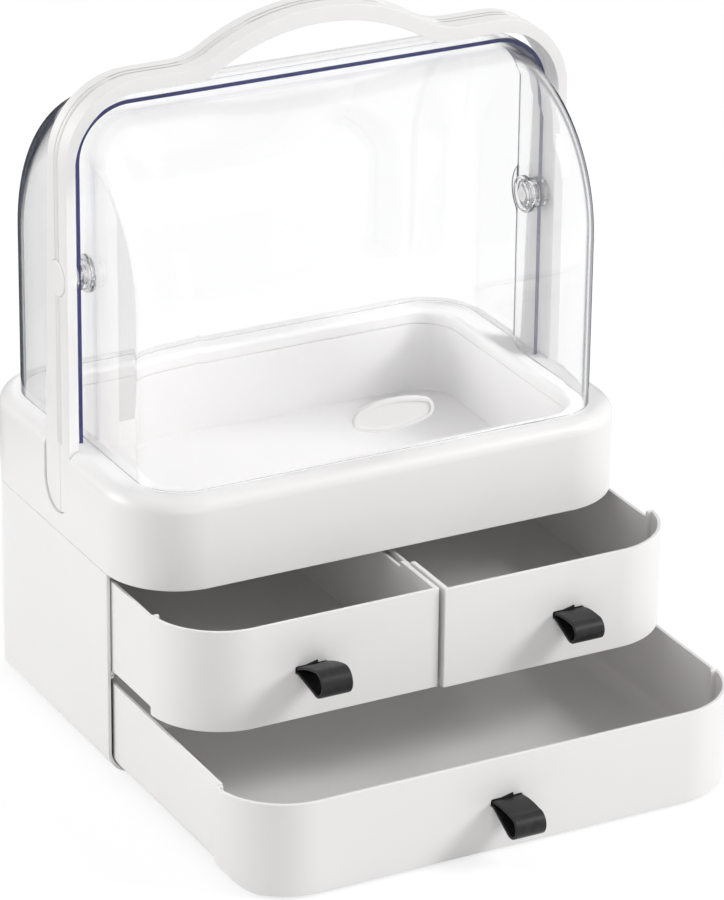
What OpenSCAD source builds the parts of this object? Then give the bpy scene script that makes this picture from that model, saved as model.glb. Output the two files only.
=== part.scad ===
// Dustproof makeup organizer: a moulded cabinet with three drawers, an open
// tray on top, a two-piece clear cover over the tray, and a carrying arch.
// Frame: millimetres. The origin is the middle of the footprint, on the table.
// +X is to the right seen from the front, +Y to the back, +Z up.
// Shown as it stands in the picture: drawers part-way out, cover closed.

/* [Body] */
// Width of the body, side to side
body_w = 290; // [250:1:330]
// Depth of the body, front to back
body_d = 200; // [180:1:230]
// Radius of the body's upright corners
corner_r = 40; // [30:1:50]
// Wall thickness of the cabinet
cabinet_wall = 2; // [1.6:0.1:3]
// Height of the seam between cabinet and tray
seam_z = 115.6; // [110:0.1:125]
// How far the cabinet's open mouth stands behind the front face
mouth_back = 37.5; // [30:0.5:45]
// Radius of the cabinet's long bottom corners
bottom_r = 14; // [8:1:20]
// Height of the feet below the cabinet
foot_h = 1; // [0.5:0.1:3]
// Radius of a foot pad
foot_r = 8; // [5:0.5:12]
// Distance of the corner feet from the body's sides
foot_side = 33; // [25:1:50]
// Distance of the front feet from the front face
foot_front = 56; // [50:1:80]
// Distance of the rear feet from the rear face
foot_rear = 22; // [18:1:50]

/* [Shelf and divider] */
// Height of the shelf's underside
shelf_z = 58.3; // [50:0.1:65]
// Thickness of the shelf
shelf_t = 2.5; // [2:0.1:4]
// Thickness of the divider between the upper drawers
divider_t = 2; // [1.5:0.1:3]
// Width of the rail under each end of the shelf
rail_w = 2; // [1:0.1:4]
// Height of the rail under each end of the shelf
rail_h = 1.6; // [1:0.1:3]

/* [Tray] */
// Height of the tray's flat rim
rim_z = 165; // [150:0.5:180]
// Radius of the soft edge around the rim
rim_r = 8; // [4:0.5:12]
// Wall thickness of the tray
tray_wall = 2.2; // [1.8:0.1:3]
// Distance of the well from each side of the body
well_side = 25; // [20:1:40]
// Distance of the well from the front face
well_front = 18; // [15:1:30]
// Distance of the well from the rear face
well_rear = 24; // [15:1:30]
// Radius of the well's upright corners
well_r = 22; // [15:1:30]
// Radius of the soft edge around the well
well_lip_r = 3; // [1:0.5:5]
// Height of the collar under the rim that the tub's wall meets
collar_h = 8; // [5:0.5:12]

/* [Handle] */
// How far the legs' outer faces stand in from the body's sides
leg_inset = 1.2; // [0.5:0.1:3]
// Thickness of a leg
leg_t = 5.4; // [4:0.1:7]
// Distance from the pivot axis forward to the arch's front face
arch_ahead = 12; // [10:0.5:14]
// Distance from the pivot axis back to the legs' rear face, at the tray
arch_behind = 17; // [14:0.5:20]
// Distance from the pivot axis back to the arch's rear face, at its waist
arch_behind_waist = 11; // [9:0.5:14]
// Distance from the pivot axis back to the arch's rear face, at its top
arch_behind_top = 8.5; // [6:0.5:12]
// Height of the arch's waist above the rim
waist_rise = 125; // [100:1:150]
// Depth of a leg's tip below the rim
leg_depth = 38.5; // [25:0.5:41]
// Gap between the rear cover's top and the crossbar
arch_room = 5.6; // [4:0.1:10]
// Thickness of the crossbar
crossbar_t = 7; // [5:0.5:10]
// Outer radius of the arch's corners
arch_r = 42; // [30:1:50]
// Rise of the grip's top above the crossbar's top
grip_rise = 22.5; // [15:0.5:35]
// Thickness of the grip
grip_t = 8.5; // [6:0.5:12]
// Radius of the grip's back, outside
grip_r = 115; // [90:1:140]
// Radius of the grip's underside
grip_under_r = 110; // [90:1:140]
// Radius where the grip runs into the crossbar, outside
grip_blend_r = 37.5; // [25:0.5:45]
// Radius where the grip runs into the crossbar, underneath
grip_under_blend_r = 20; // [15:0.5:30]
// Width of the groove on each side of the parting line
groove_w = 1.4; // [0.8:0.1:2.5]
// Depth of the grooves
groove_depth = 0.6; // [0.3:0.1:1]
// Width of the raised line on each side of the parting line
raised_line_w = 1.1; // [0.8:0.1:2]

/* [Cover pivot] */
// How far the pivot axis stands in front of the body's middle
pivot_ahead = 5; // [0:0.5:10]
// Height of the pivot axis above the rim
pivot_rise = 91; // [80:0.5:110]
// Radius of the pivot pin
pin_r = 4; // [3:0.1:5]
// Running clearance around the pin
pin_gap = 0.05; // [0.01:0.01:0.1]
// Radius of the pin's head, sunk in the leg
pin_head_r = 7; // [5:0.1:8]
// Radius of the round cap over the pin
cap_r = 9.5; // [8:0.1:10.5]
// Radius of the spacer rings on the pin
spacer_r = 8; // [6:0.1:10]
// Radius of the boss on the pin's inner end
boss_r = 10; // [8:0.1:12]
// Length of the boss
boss_l = 3.4; // [3:0.1:6]

/* [Covers] */
// Wall thickness of the clear covers
cover_wall = 2.2; // [1.8:0.1:3]
// Gap between a closed cover and the rim
cover_gap = 0.3; // [0.2:0.1:0.6]
// How far the front cover's sides stand in from the body's sides
front_cover_side = 15.3; // [14:0.1:20]
// Front face of the front cover, behind the body's front face
front_cover_y = 9.8; // [8:0.1:15]
// How far the axis of the front cover's quarter barrel stands behind the pivot
front_arc_back = 2.1; // [0:0.1:4]
// Radius of the front cover's rounded long corners
front_corner_r = 25; // [15:1:35]
// How far the front cover's rear edge stands behind the pivot
front_lap = 10.6; // [8:0.1:14]
// Radius of the ear around the pivot
ear_r = 16.3; // [13:0.1:18]
// How far the rear cover's sides stand in from the body's sides
rear_cover_side = 10; // [8:0.1:12]
// How far the rear cover's back stands in from the body's rear face
rear_cover_inset = 13.3; // [10:0.1:20]
// How far the axis of the rear cover's quarter barrel stands behind the pivot
rear_arc_back = 0.8; // [0:0.1:3]
// Radius of the rear cover's rounded long corners
rear_corner_r = 30; // [20:1:35]
// How far the rear cover's front edge stands in front of the pivot
rear_lap = 5; // [3:0.1:8]
// Radius of the lower corner that swings over the rim
heel_r = 8; // [5:0.5:12]

/* [Cover tab] */
// Half length of the oval tab
tab_a = 23; // [18:0.5:28]
// Half height of the oval tab
tab_b = 8.6; // [6:0.1:11]
// Radius of the tab's ends
tab_end_r = 6; // [4:0.1:8]
// Thickness of the tab
tab_t = 3; // [2:0.1:5]
// Height of the tab's middle above the rim
tab_rise = 22.3; // [15:0.1:35]
// Sideways offset of the tab's middle
tab_x = 2.5; // [0:0.1:5]
// Depth of the finger dish in the tab
dish_depth = 0.8; // [0.4:0.1:1.5]
// Width of the land around the finger dish
dish_land = 2; // [1:0.1:4]
// Radius of the tab's two stems
stem_r = 2.5; // [1.5:0.1:4]
// Distance of a stem from the tab's middle
stem_x = 12; // [8:0.5:16]

/* [Drawers] */
// Wall thickness of the drawers
drawer_wall = 2; // [1.6:0.1:3]
// Sideways clearance of a drawer in the cabinet
side_gap = 0.6; // [0.3:0.1:1]
// Clearance under a drawer
slide_gap = 0.2; // [0.1:0.05:0.5]
// Gap between a closed drawer's shoulders and the cabinet's mouth
shoulder_gap = 0.4; // [0.2:0.1:1]
// How far a closed drawer ends in front of the body's rear face
drawer_short = 12; // [5:1:30]
// Gap between the two upper fronts
fronts_gap = 1.7; // [1:0.1:3]
// How far the upper fronts begin above the shelf's underside
upper_front_lift = 1.1; // [0.5:0.1:2]
// Gap between the upper fronts and the tray
upper_front_gap = 0.8; // [0.5:0.1:3]
// Gap between the upper drawers' boxes and the deck
upper_box_gap = 2.2; // [1:0.1:10]
// How far the lower front begins above the cabinet's underside
lower_front_lift = 0.5; // [0.2:0.1:2]
// Gap between the lower front and the shelf
lower_front_gap = 5.8; // [3:0.1:10]
// Gap between the lower drawer's box and the shelf
lower_box_gap = 4.3; // [3:0.1:10]
// Opening of the left drawer as shown
left_open = 49.7; // [0:0.1:110]
// Opening of the right drawer as shown
right_open = 52.5; // [0:0.1:110]
// Opening of the lower drawer as shown
lower_open = 121; // [0:0.1:125]

/* [Pulls] */
// Width of a pull's strap
strap_w = 17.2; // [12:0.1:22]
// Thickness of the strap
strap_t = 1.6; // [1.2:0.1:2.5]
// Width of the slot in a front
slot_w = 17.8; // [13:0.1:24]
// Height of the slot in a front
slot_h = 4; // [3:0.1:6]
// Distance of the upper pulls from the middle
pull_x = 73.2; // [60:0.1:85]
// Height of the upper pulls' slots
upper_pull_z = 86.4; // [75:0.1:100]
// Height of the lower pull's slot
lower_pull_z = 28; // [20:0.1:35]
// Distance from the left front to the middle of its pull's bend
left_reach = 21.3; // [15:0.1:30]
// Outside radius of the left pull's bend
left_bend_r = 7.3; // [5:0.1:9]
// Angle of the left pull above the horizontal
left_tilt = 5; // [-20:1:20]
// Distance from the right front to the middle of its pull's bend
right_reach = 16.9; // [15:0.1:30]
// Outside radius of the right pull's bend
right_bend_r = 6; // [5:0.1:9]
// Angle of the right pull above the horizontal
right_tilt = -8; // [-20:1:20]
// Distance from the lower front to the middle of its pull's bend
lower_reach = 19.3; // [15:0.1:30]
// Outside radius of the lower pull's bend
lower_bend_r = 6.5; // [5:0.1:9]
// Angle of the lower pull above the horizontal
lower_tilt = -13; // [-20:1:20]
// Thickness of the clip behind a front
clip_t = 3; // [2:0.1:5]
// Rim of the clip around its slot
clip_rim = 3.2; // [2:0.1:5]

/* [Screws] */
// Radius of a screw's shank
screw_r = 1.5; // [1:0.1:2]
// Radius of a screw's head
screw_head_r = 3; // [2:0.1:4]
// Height of a screw's head
screw_head_h = 1.7; // [1:0.1:2.5]
// Length of a tray screw's shank
tray_screw_l = 12; // [8:1:20]
// Distance of the tray screws from the body's sides
tray_screw_inset = 15.5; // [13:0.1:18]
// Distance of the front tray screws from the front face
tray_screw_front = 55; // [45:1:70]
// Distance of the rear tray screws from the rear face
tray_screw_rear = 50; // [45:1:70]
// Height of the handle screws above the legs' tips
handle_screw_rise = 13.5; // [8:0.5:20]
// Distance of the front handle screw from the pivot axis, forward
handle_screw_ahead = 6; // [4:0.5:8]
// Distance of the rear handle screw from the pivot axis, back
handle_screw_behind = 9; // [6:0.5:12]
// Length of a handle screw's shank beyond its head
handle_screw_l = 5.5; // [4:0.1:7]
// Radius of the bosses the tray screws go into
screw_boss_r = 4; // [3:0.1:5]

/* [Hidden] */
$fn = 72;

// Gap between two flat faces that are fixed against each other
fit = 0.1;
// Clearance of a screw's shank in its hole, and of the legs in the tray
screw_gap = 0.05;
leg_gap = 0.3;
// How far a cutting body reaches past the wall it cuts
over = 1;
// A length longer than the whole object, for cutting bodies
far = 500;

floor_z = foot_h + cabinet_wall;
deck_z = seam_z - cabinet_wall;
shelf_top = shelf_z + shelf_t;
inner_x = body_w / 2 - cabinet_wall;
tray_screw_x = body_w / 2 - tray_screw_inset;
screw_ys = [tray_screw_front, body_d - tray_screw_rear];
foot_x = body_w / 2 - foot_side;
foot_ys = [foot_front, body_d - foot_rear];
box_x = inner_x - side_gap;
tray_z0 = seam_z + fit;
tray_floor_t = 2;
well_z = tray_z0 + tray_floor_t;
well_w = body_w - 2 * well_side;
well_d = body_d - well_front - well_rear;
well_mid = well_front + well_d / 2;
pivot_y = body_d / 2 - pivot_ahead;
pivot_z = rim_z + pivot_rise;
front_cover_x = body_w / 2 - front_cover_side;
front_arc_y = pivot_y + front_arc_back;
front_barrel_r = front_arc_y - front_cover_y;
rear_cover_x = body_w / 2 - rear_cover_side;
rear_arc_y = pivot_y + rear_arc_back;
rear_barrel_r = body_d - rear_cover_inset - rear_arc_y;
cover_z = rim_z + cover_gap;
tab_z = rim_z + tab_rise;
leg_x = body_w / 2 - leg_inset;
leg_in = leg_x - leg_t;
leg_tip_z = rim_z - leg_depth;
arch_front = pivot_y - arch_ahead;
arch_rear = pivot_y + arch_behind;
arch_rear_waist = pivot_y + arch_behind_waist;
arch_rear_top = pivot_y + arch_behind_top;
crossbar_z = pivot_z + rear_barrel_r + arch_room + crossbar_t;
grip_z = crossbar_z + grip_rise;
leg_round_r = (arch_rear - arch_front) / 2;
leg_mid = (arch_front + arch_rear) / 2;
leg_round_z = leg_tip_z + leg_round_r;
pocket_wall = 2.2;
arch_in_r = arch_r - leg_t;
arch_in_z = crossbar_z - crossbar_t;
// How far the grip's arcs run into each other where they meet
bow_reach = 3;
blend_sink = 0.05;
// How far a strap's straight runs sink into its bend where they meet
run_sink = 0.05;
// Depth of the recess for the round cap, and how far the cap stands out of it
cap_sink = 1.6;
cap_proud = 0.5;
pin_head_l = 1.8;
shoulder_y = mouth_back - shoulder_gap;
handle_screw_ys = [pivot_y - handle_screw_ahead, pivot_y + handle_screw_behind];
handle_screw_z = leg_tip_z + handle_screw_rise;
drawer_back = body_d - drawer_short;
drawer_rear_r = corner_r - 2 * drawer_wall;
upper_front_z0 = shelf_z + upper_front_lift;
upper_front_z1 = seam_z - upper_front_gap;
upper_box_z1 = deck_z - upper_box_gap;
lower_front_z0 = foot_h + lower_front_lift;
lower_front_z1 = shelf_z - lower_front_gap;
lower_box_z1 = shelf_z - lower_box_gap;

white = [0.92, 0.91, 0.90];
clear = [0.85, 0.88, 0.92, 0.35];
black = [0.06, 0.06, 0.06];
steel = [0.75, 0.75, 0.76];

// Y of a point that lies a given distance behind the body's front face
function behind(d) = d - body_d / 2;

// ---- plan shapes -----------------------------------------------------------

// Rounded rectangle from d0 to d1 behind the front face, with true arcs
module plan(w, d0, d1, front_r, rear_r) {
    translate([-w / 2, behind(d0 + front_r)]) square([w, d1 - rear_r - d0 - front_r]);
    translate([-w / 2 + front_r, behind(d0)]) square([w - 2 * front_r, front_r + over]);
    translate([-w / 2 + rear_r, behind(d1 - rear_r - over)])
        square([w - 2 * rear_r, rear_r + over]);
    for (s = [-1, 1]) {
        translate([s * (w / 2 - front_r), behind(d0 + front_r)]) circle(front_r);
        translate([s * (w / 2 - rear_r), behind(d1 - rear_r)]) circle(rear_r);
    }
}

// The body's own outline, moved inwards by a wall thickness
module body_plan(inset = 0) {
    plan(body_w - 2 * inset, inset, body_d - inset, corner_r - inset, corner_r - inset);
}

// Front view of the cabinet: square on top, rounded along the bottom
module cabinet_section(inset, z0, z1) {
    r = bottom_r - inset;
    w = body_w - 2 * inset;
    translate([-w / 2, z0 + r]) square([w, z1 - z0 - r]);
    translate([-w / 2 + r, z0]) square([w - 2 * r, r + over]);
    for (s = [-1, 1]) translate([s * (w / 2 - r), z0 + r]) circle(r);
}

// Everything from d0 to d1 behind the front face
module slice(d0, d1) {
    translate([-far / 2, behind(d0), -over]) cube([far, d1 - d0, far]);
}

// Solid with the cabinet's rounded bottom and rounded upright corners
module cabinet_block(inset, z0, z1) {
    intersection() {
        translate([0, 0, z0]) linear_extrude(z1 - z0) body_plan(inset);
        rotate([90, 0, 0]) linear_extrude(far, center = true) cabinet_section(inset, z0, z1);
    }
}

// Sweeps an edge profile round a rounded rectangle. The profile's x runs from
// the corner's centre outwards to r, its y is the height.
module plan_sweep(w, d, r, z0, z1) {
    translate([-w / 2 + r, -d / 2 + r, z0]) cube([w - 2 * r, d - 2 * r, z1 - z0]);
    for (turn = [0, 180]) rotate(turn) {
        translate([w / 2 - r, 0, 0]) rotate([90, 0, 0])
            linear_extrude(d - 2 * r, center = true) children();
        translate([0, d / 2 - r, 0]) rotate([90, 0, 90])
            linear_extrude(w - 2 * r, center = true) children();
        translate([w / 2 - r, d / 2 - r, 0]) rotate_extrude(angle = 90) children();
        translate([-w / 2 + r, d / 2 - r, 0]) rotate(90) rotate_extrude(angle = 90) children();
    }
}

// Edge profile with a rounded top corner
module soft_edge(r, z0, z1, edge_r) {
    translate([0, z0]) square([r, z1 - z0 - edge_r]);
    translate([0, z0]) square([r - edge_r, z1 - z0]);
    translate([r - edge_r, z1 - edge_r]) circle(edge_r);
}

// Edge profile of a hole whose top edge flares out
module flared_edge(r, z0, z1, edge_r) {
    translate([0, z0]) square([r, z1 + over - z0]);
    difference() {
        translate([0, z1 - edge_r]) square([r + edge_r, edge_r + over]);
        translate([r + edge_r, z1 - edge_r]) circle(edge_r);
    }
}

// ---- cabinet ---------------------------------------------------------------

module tray_screw_places() {
    for (s = [-1, 1], d = screw_ys) translate([s * tray_screw_x, behind(d), 0]) children();
}

// Near the corners, and one in the middle that keeps the wide floor from sagging
module foot_places() {
    for (s = [-1, 1], d = foot_ys) translate([s * foot_x, behind(d), 0]) children();
    translate([0, behind(body_d / 2), 0]) children();
}

// U-shaped casing, open at the front, with a deck that carries the tray
module cabinet_shell() {
    color(white) {
        difference() {
            cabinet_block(0, foot_h, seam_z);
            cabinet_block(cabinet_wall, floor_z, deck_z);
            slice(-over, mouth_back);
            tray_screw_places() translate([0, 0, deck_z - over])
                cylinder(r = screw_r + screw_gap, h = cabinet_wall + 2 * over);
            foot_places() translate([0, 0, foot_h - over]) cylinder(r = foot_r + fit, h = over + foot_h);
        }
        // Rails that carry the ends of the shelf
        for (s = [-1, 1]) translate([s * (inner_x - rail_w / 2 + fit), 0, shelf_z - fit - rail_h / 2])
            translate([0, behind((mouth_back + body_d - corner_r) / 2), 0])
                cube([rail_w + 2 * fit, body_d - corner_r - mouth_back, rail_h], center = true);
    }
}

// Flat shelf between the lower drawer and the upper ones
module drawer_shelf() {
    color(white) intersection() {
        translate([0, 0, shelf_z]) linear_extrude(shelf_t) body_plan(cabinet_wall + fit);
        slice(mouth_back, body_d);
    }
}

// Upright wall between the two upper drawers
module centre_divider() {
    color(white) translate([-divider_t / 2, behind(mouth_back), shelf_top + fit])
        cube([divider_t, body_d - mouth_back - cabinet_wall - fit, deck_z - shelf_top - 2 * fit]);
}

// Five thin pads let into the cabinet's underside
module base_feet() {
    color(black) foot_places() cylinder(r = foot_r, h = 2 * foot_h - fit / 2);
}

// ---- tray ------------------------------------------------------------------

// Side view of the room a leg takes up in the tray
module leg_slot_section() {
    w = arch_rear - arch_front + 2 * leg_gap;
    translate([behind(leg_mid), leg_round_z]) circle(w / 2);
    translate([behind(leg_mid) - w / 2, leg_round_z]) square([w, rim_z + over - leg_round_z]);
}

// Wall of the well, with a given outward offset
module well_plan(inset) {
    plan(well_w + 2 * tray_wall - 2 * inset, well_front - tray_wall + inset,
         body_d - well_rear + tray_wall - inset, well_r + tray_wall - inset,
         well_r + tray_wall - inset);
}

// Tray's outer wall and rim, hollow underneath, with a collar round the well
module upper_tray() {
    pocket_x = leg_in - leg_gap - pocket_wall;
    pocket_d = arch_rear - arch_front + 2 * leg_gap + 2 * pocket_wall;
    color(white) difference() {
        plan_sweep(body_w, body_d, corner_r, tray_z0, rim_z)
            soft_edge(corner_r, tray_z0, rim_z, rim_r);
        // Hollow under the rim, leaving the collar, the leg pockets and the bosses
        difference() {
            plan_sweep(body_w - 2 * tray_wall, body_d - 2 * tray_wall, corner_r - tray_wall,
                       tray_z0 - over, rim_z - tray_wall)
                soft_edge(corner_r - tray_wall, tray_z0 - over, rim_z - tray_wall,
                          rim_r - tray_wall);
            translate([0, 0, rim_z - collar_h]) linear_extrude(far) well_plan(0);
            for (s = [-1, 1])
                translate([s * (pocket_x + far / 2), behind(leg_mid), leg_tip_z - pocket_wall + far / 2])
                    cube([far, pocket_d, far], center = true);
            tray_screw_places() translate([0, 0, tray_z0 - 2 * over])
                cylinder(r = screw_boss_r, h = far);
        }
        translate([0, behind(well_mid), 0])
            plan_sweep(well_w + 2 * well_lip_r, well_d + 2 * well_lip_r, well_r + well_lip_r,
                       rim_z - collar_h - over, rim_z + over)
                flared_edge(well_r, rim_z - collar_h - over, rim_z, well_lip_r);
        for (s = [-1, 1]) translate([s * (leg_in - leg_gap + far / 2), 0, 0])
            rotate([90, 0, 90]) linear_extrude(far, center = true) leg_slot_section();
        tray_screw_places() translate([0, 0, tray_z0 - over])
            cylinder(r = screw_r + screw_gap, h = tray_screw_l + over);
        handle_screw_places() cylinder(r = screw_r + screw_gap, h = pocket_wall + 2 * over);
    }
}

// Tub that stands on the deck and is held down by the tray's collar
module tray_tub() {
    color(white) difference() {
        translate([0, 0, tray_z0]) linear_extrude(rim_z - collar_h - fit - tray_z0) well_plan(0);
        translate([0, 0, well_z]) linear_extrude(far) well_plan(tray_wall);
    }
}

// Pan-head screws up through the deck into the tray's bosses
module tray_screws() {
    color(steel) tray_screw_places() {
        translate([0, 0, deck_z - screw_head_h - fit]) cylinder(r = screw_head_r, h = screw_head_h);
        translate([0, 0, deck_z - fit - screw_head_h / 2])
            cylinder(r = screw_r, h = tray_screw_l + cabinet_wall);
    }
}

// ---- handle ----------------------------------------------------------------

// Front view of the arch's inside or outside edge, filled down to the ground.
// The grip is a wide arc that two smaller arcs lead into from the crossbar.
module arch_edge(x, r, top_z, grip_top, bow_r, blend_r) {
    bow_z = grip_top - bow_r;
    blend_z = top_z + blend_r;
    blend_x = sqrt(pow(bow_r + blend_r, 2) - pow(blend_z - bow_z, 2));
    meet_x = blend_x * bow_r / (bow_r + blend_r);
    meet_z = bow_z + (blend_z - bow_z) * bow_r / (bow_r + blend_r);
    translate([-x, 0]) square([2 * x, top_z - r]);
    translate([-x + r, 0]) square([2 * (x - r), top_z]);
    for (s = [-1, 1]) translate([s * (x - r), top_z - r]) circle(r);
    intersection() {
        translate([0, bow_z]) circle(bow_r, $fn = 144);
        translate([-meet_x - bow_reach, top_z - over]) square([2 * (meet_x + bow_reach), bow_r]);
    }
    difference() {
        translate([-blend_x, top_z - over]) square([2 * blend_x, meet_z - top_z + over]);
        for (s = [-1, 1]) translate([s * blend_x, blend_z - blend_sink])
            circle(blend_r, $fn = 96);
    }
}

module arch_outside(inset = 0) {
    arch_edge(leg_x - inset, arch_r - inset, crossbar_z - inset, grip_z - inset,
              grip_r - inset, grip_blend_r + inset);
}

module arch_inside() {
    arch_edge(leg_in, arch_in_r, arch_in_z, grip_z - grip_t, grip_under_r, grip_under_blend_r);
}

// Side view of the arch: straight in front, wider towards the tray behind
module arch_side() {
    polygon([[behind(arch_front), leg_round_z], [behind(arch_rear), leg_round_z],
             [behind(arch_rear), rim_z], [behind(arch_rear_waist), rim_z + waist_rise],
             [behind(arch_rear_top), crossbar_z], [behind(arch_rear_top), grip_z + over],
             [behind(arch_front), grip_z + over]]);
    translate([behind(leg_mid), leg_round_z]) circle(leg_round_r);
}

// Half of the arch from d0 to d1 behind the front face
module arch_half(d0, d1) {
    difference() {
        intersection() {
            rotate([90, 0, 0]) linear_extrude(far, center = true) difference() {
                arch_outside();
                arch_inside();
            }
            rotate([90, 0, 90]) linear_extrude(far, center = true) arch_side();
            slice(d0, d1);
        }
        // Groove beside the raised parting line, all round the outside
        for (s = [-1, 1])
            translate([0, behind(pivot_y) + s * (raised_line_w + groove_w / 2), 0])
                rotate([90, 0, 0]) linear_extrude(groove_w, center = true) difference() {
                    translate([-far / 2, rim_z]) square([far, far]);
                    arch_outside(groove_depth);
                }
        for (s = [-1, 1]) pivot_side(s) {
            translate([0, 0, -over]) cylinder(r = pin_r + pin_gap, h = leg_t + 2 * over);
            translate([0, 0, leg_t - cap_sink - pin_head_l - fit])
                cylinder(r = pin_head_r + fit, h = leg_t);
            translate([0, 0, leg_t - cap_sink]) cylinder(r = cap_r + fit, h = leg_t);
        }
        handle_screw_places() translate([0, 0, pocket_wall])
            cylinder(r = screw_r + screw_gap, h = leg_t - pocket_wall / 2);
    }
}

// Frame on the pivot axis at a leg's inner face, pointing outwards
module pivot_side(s) {
    translate([s * leg_in, behind(pivot_y), pivot_z]) rotate([0, s * 90, 0]) children();
}

// Frame on each handle screw's axis at the inner face of the leg's pocket
module handle_screw_places() {
    for (s = [-1, 1], d = handle_screw_ys)
        translate([s * (leg_in - leg_gap - pocket_wall), behind(d), handle_screw_z])
            rotate([0, s * 90, 0]) children();
}

module handle_front_shell() {
    color(white) arch_half(0, pivot_y - fit / 2);
}

module handle_rear_shell() {
    color(white) arch_half(pivot_y + fit / 2, body_d);
}

// Screws from under the rim into the foot of each leg
module handle_screws() {
    color(steel) handle_screw_places() {
        translate([0, 0, -screw_head_h - fit]) cylinder(r = screw_head_r, h = screw_head_h);
        translate([0, 0, -screw_head_h]) cylinder(r = screw_r, h = handle_screw_l + screw_head_h);
    }
}

// ---- pivot -----------------------------------------------------------------

// Distances along the pivot, inwards from a leg's inner face
front_ear_out = leg_in - front_cover_x;
front_ear_in = front_ear_out + cover_wall;
rear_ear_out = leg_in - rear_cover_x;
rear_ear_in = rear_ear_out + cover_wall;
boss_out = front_ear_in + fit;
pin_end = boss_out + boss_l - over;

// Headed pin through leg, spacers and both ears
module pivot_pin(s) {
    color(steel) pivot_side(s) {
        translate([0, 0, -pin_end]) cylinder(r = pin_r, h = pin_end + leg_t - cap_sink - pin_head_l);
        translate([0, 0, leg_t - cap_sink - pin_head_l]) cylinder(r = pin_head_r, h = pin_head_l);
    }
}

// Round cap that closes the recess over the pin's head
module pivot_cap(s) {
    cap_t = cap_sink + cap_proud;
    color(white) pivot_side(s) translate([0, 0, leg_t - cap_sink + fit]) rotate_extrude()
        polygon([[0, 0], [cap_r, 0], [cap_r, cap_sink], [cap_r - cap_proud, cap_t], [0, cap_t]]);
}

// One ring between leg and rear cover, one between the two covers
module pivot_spacers(s) {
    color(clear) pivot_side(s) {
        spacer(0, rear_ear_out);
        spacer(rear_ear_in, front_ear_out);
    }
}

module spacer(out, inwards) {
    translate([0, 0, -inwards + fit]) difference() {
        cylinder(r = spacer_r, h = inwards - out - 2 * fit);
        translate([0, 0, -over]) cylinder(r = pin_r + pin_gap, h = inwards - out + over);
    }
}

// Stepped boss pressed on the inner end of the pin
module pivot_boss(s) {
    step = boss_l / 3;
    color(clear) pivot_side(s) translate([0, 0, -boss_out]) rotate([180, 0, 0]) difference() {
        union() {
            cylinder(r = boss_r, h = 2 * step);
            cylinder(r = boss_r * 0.7, h = boss_l);
        }
        translate([0, 0, -over]) cylinder(r = pin_r + pin_gap, h = boss_l + fit);
        // Ring groove in the stepped face
        translate([0, 0, 2 * step - groove_depth]) difference() {
            cylinder(r = boss_r * 0.9, h = boss_l);
            translate([0, 0, -over]) cylinder(r = boss_r * 0.8, h = far);
        }
    }
}

module left_pivot_pin() { pivot_pin(-1); }
module right_pivot_pin() { pivot_pin(1); }
module left_pivot_cap() { pivot_cap(-1); }
module right_pivot_cap() { pivot_cap(1); }
module left_pivot_spacers() { pivot_spacers(-1); }
module right_pivot_spacers() { pivot_spacers(1); }
module left_pivot_boss() { pivot_boss(-1); }
module right_pivot_boss() { pivot_boss(1); }

// ---- covers ----------------------------------------------------------------

// Half section of a cover: x is the distance from the barrel's axis, y runs
// along that axis. The same section is revolved and drawn straight.
module cover_profile(radius, half, r) {
    square_to(radius - r, half);
    square_to(radius, half - r);
    for (s = [-1, 1]) translate([radius - r, s * (half - r)]) circle(r);
}

module square_to(x, half) {
    translate([0, -half]) square([x, 2 * half]);
}

module cover_skin(radius, half, r) {
    difference() {
        cover_profile(radius, half, r);
        translate([-over, 0]) square_to(over + fit, half - cover_wall);
        cover_profile(radius - cover_wall, half - cover_wall, r - cover_wall);
    }
}

// Shell seen from its own side: front wall down to the rim, quarter barrel on
// top, then a flat strip of the given length over and past the pivot
module cover_shell(radius, half, r, strip) {
    drop = pivot_z - cover_z;
    translate([0, 0, -drop]) linear_extrude(drop) rotate(-90) cover_skin(radius, half, r);
    rotate([0, 90, 0]) rotate(180) rotate_extrude(angle = 90) cover_skin(radius, half, r);
    rotate([0, -90, -90]) linear_extrude(strip) cover_skin(radius, half, r);
    for (s = [-1, 1]) translate([s * (half - cover_wall / 2), strip / 2, -drop / 2])
        cube([cover_wall, strip, drop], center = true);
}

// Rounds the heel of both side walls, at y and z from the barrel's axis
module heel_cut(y, z, r, half) {
    for (s = [-1, 1]) translate([s * half, y, z]) difference() {
        translate([0, -r / 2 + over / 2, r / 2 - over / 2])
            cube([4 * cover_wall, r + over, r + over], center = true);
        translate([0, -r, r]) rotate([0, 90, 0]) cylinder(r = r, h = far, center = true);
    }
}

// Front cover: swings up and back inside the rear cover
module front_cover() {
    strip = front_lap - front_arc_back;
    color(clear) difference() {
        union() {
            translate([0, behind(front_arc_y), pivot_z]) difference() {
                cover_shell(front_barrel_r, front_cover_x, front_corner_r, strip);
                heel_cut(strip, cover_z - pivot_z, heel_r, front_cover_x);
            }
            for (s = [-1, 1]) pivot_side(s) translate([0, 0, -front_ear_in])
                cylinder(r = ear_r, h = cover_wall);
        }
        for (s = [-1, 1]) pivot_side(s) translate([0, 0, -front_ear_in - over])
            cylinder(r = pin_r + pin_gap, h = cover_wall + 2 * over);
        tab_stem_places() translate([0, 0, -over])
            cylinder(r = stem_r + screw_gap, h = cover_wall + 2 * over);
    }
}

// Rear cover: stands on the rim behind the pivot and stays there
module rear_cover() {
    strip = rear_lap + rear_arc_back;
    color(clear) difference() {
        translate([0, behind(rear_arc_y), pivot_z]) mirror([0, 1, 0])
            cover_shell(rear_barrel_r, rear_cover_x, rear_corner_r, strip);
        for (s = [-1, 1]) pivot_side(s) translate([0, 0, -rear_ear_in - over])
            cylinder(r = pin_r + pin_gap, h = cover_wall + 2 * over);
    }
}

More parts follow.
